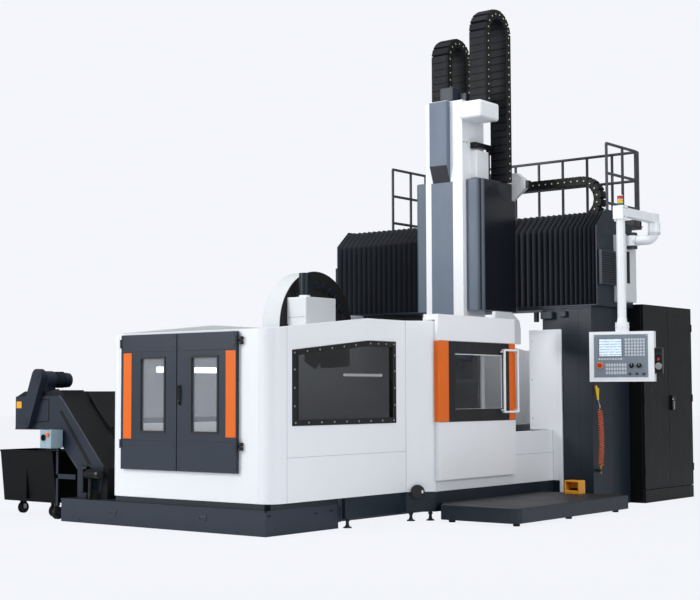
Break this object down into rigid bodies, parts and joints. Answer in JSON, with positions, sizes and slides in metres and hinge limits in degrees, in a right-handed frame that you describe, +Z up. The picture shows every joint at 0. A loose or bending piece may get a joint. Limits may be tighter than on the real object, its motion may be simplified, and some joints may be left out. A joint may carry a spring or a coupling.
{
  "type": "five-axis bridge machining center",
  "caption": "Bridge-type machining center with enclosed travelling table, crossbeam with sliding saddle and ram, doors, control pendant, cabinet and chip conveyor.",
  "frame": {"origin": "on the floor under the spindle's plane, on the bed's centreline", "axes": "+X to the operator side, +Y along the bed away from the end doors, +Z up"},
  "size_m": [5.8176, 8.0545, 5.775],
  "materials": {
    "white_panel": "satin",
    "slate_panel": "satin",
    "charcoal_panel": "satin",
    "housing_blue": "satin",
    "orange_panel": "satin",
    "bellows_cloth": "matte",
    "chain_plastic": "matte",
    "window_glass": "clear",
    "cast_iron": "painted",
    "ground_steel": "ground",
    "grey_cover": "satin",
    "pedal_yellow": "satin",
    "rail_grey": "satin",
    "lamp_plastic": "gloss",
    "black_plastic": "matte",
    "cable_rubber": "matte",
    "gun_yellow": "gloss",
    "hose_orange": "gloss",
    "box_blue": "satin"
  },
  "bodies": {
    "machine": {"machine_bed": "cast_iron", "work_table": "ground_steel", "chip_tray": "slate_panel", "end_wall": "white_panel", "right_front_wall": "white_panel", "right_bay_wall": "white_panel", "door_sill": "white_panel", "door_lintel": "grey_cover", "post_panel": "white_panel", "left_wall": "white_panel", "rear_enclosure": "white_panel", "side_windows": "window_glass", "plinth": "charcoal_panel", "platform": "grey_cover", "foot_pedal": "pedal_yellow", "column_left": "charcoal_panel", "column_right": "charcoal_panel", "crossbeam": "charcoal_panel", "bellows_left": "bellows_cloth", "bellows_right": "bellows_cloth", "beam_ends": "charcoal_panel", "walkway": "charcoal_panel", "rails_left": "rail_grey", "rails_right": "rail_grey", "rails_rear": "rail_grey", "beam_chain": "chain_plastic", "tool_magazine": "grey_cover", "tool_changer": "grey_cover", "cabinet": "charcoal_panel", "blow_gun": "gun_yellow", "air_hose": "hose_orange", "conveyor": "slate_panel", "conveyor_hood": "charcoal_panel", "conveyor_drive": "slate_panel", "switch_box": "box_blue", "chip_bin": "charcoal_panel"},
    "saddle_unit": {"saddle": "housing_blue", "saddle_chain_legs": "chain_plastic"},
    "ram_unit": {"ram": "white_panel", "spindle_head": "ground_steel", "ram_top_box": "white_panel", "ram_chains": "chain_plastic"},
    "operator_door": {"operator_door": "orange_panel"},
    "end_leaf_left": {"end_door_left": "slate_panel"},
    "end_leaf_right": {"end_door_right": "slate_panel"},
    "cabinet_leaf_left": {"cabinet_door_left": "charcoal_panel"},
    "cabinet_leaf_right": {"cabinet_door_right": "charcoal_panel"},
    "arm_lower": {"lower_arm": "white_panel"},
    "arm_upper": {"upper_arm": "white_panel", "stack_light": "lamp_plastic"},
    "control_pendant": {"pendant": "white_panel", "handwheel": "black_plastic", "handwheel_cable": "cable_rubber"}
  },
  "joints": [
    {"name": "saddle_slide", "type": "slide", "parent": "machine", "child": "saddle_unit", "axis": [1, 0, 0], "range_m": [-1.1, 0.4]},
    {"name": "ram_slide", "type": "slide", "parent": "saddle_unit", "child": "ram_unit", "axis": [0, 0, 1], "range_m": [-0.6, 0], "deforming": ["saddle_chain_legs"]},
    {"name": "operator_door_slide", "type": "slide", "parent": "machine", "child": "operator_door", "axis": [0, 1, 0], "range_m": [0, 0.885]},
    {"name": "end_door_left_hinge", "type": "hinge", "parent": "machine", "child": "end_leaf_left", "pos_m": [-0.863, -4.1405, 1.22], "axis": [0, 0, -1], "range_deg": [0, 100]},
    {"name": "end_door_right_hinge", "type": "hinge", "parent": "machine", "child": "end_leaf_right", "pos_m": [0.683, -4.1405, 1.22], "axis": [0, 0, 1], "range_deg": [0, 100]},
    {"name": "cabinet_door_left_hinge", "type": "hinge", "parent": "machine", "child": "cabinet_leaf_left", "pos_m": [1.998, 1.498, 1.2], "axis": [0, 0, -1], "range_deg": [0, 100]},
    {"name": "cabinet_door_right_hinge", "type": "hinge", "parent": "machine", "child": "cabinet_leaf_right", "pos_m": [1.998, 2.816, 1.2], "axis": [0, 0, 1], "range_deg": [0, 100]},
    {"name": "arm_swing", "type": "hinge", "parent": "machine", "child": "arm_lower", "pos_m": [2.1, 1.05, 3.045], "axis": [0, 0, 1], "range_deg": [-10, 30]},
    {"name": "arm_elbow", "type": "hinge", "parent": "arm_lower", "child": "arm_upper", "pos_m": [2.38, 1.05, 3.123], "axis": [0, 0, 1], "range_deg": [0, 60]},
    {"name": "pendant_turn", "type": "hinge", "parent": "arm_upper", "child": "control_pendant", "pos_m": [2.38, 0.23, 2.012], "axis": [0, 0, 1], "range_deg": [-45, 45]}
  ]
}
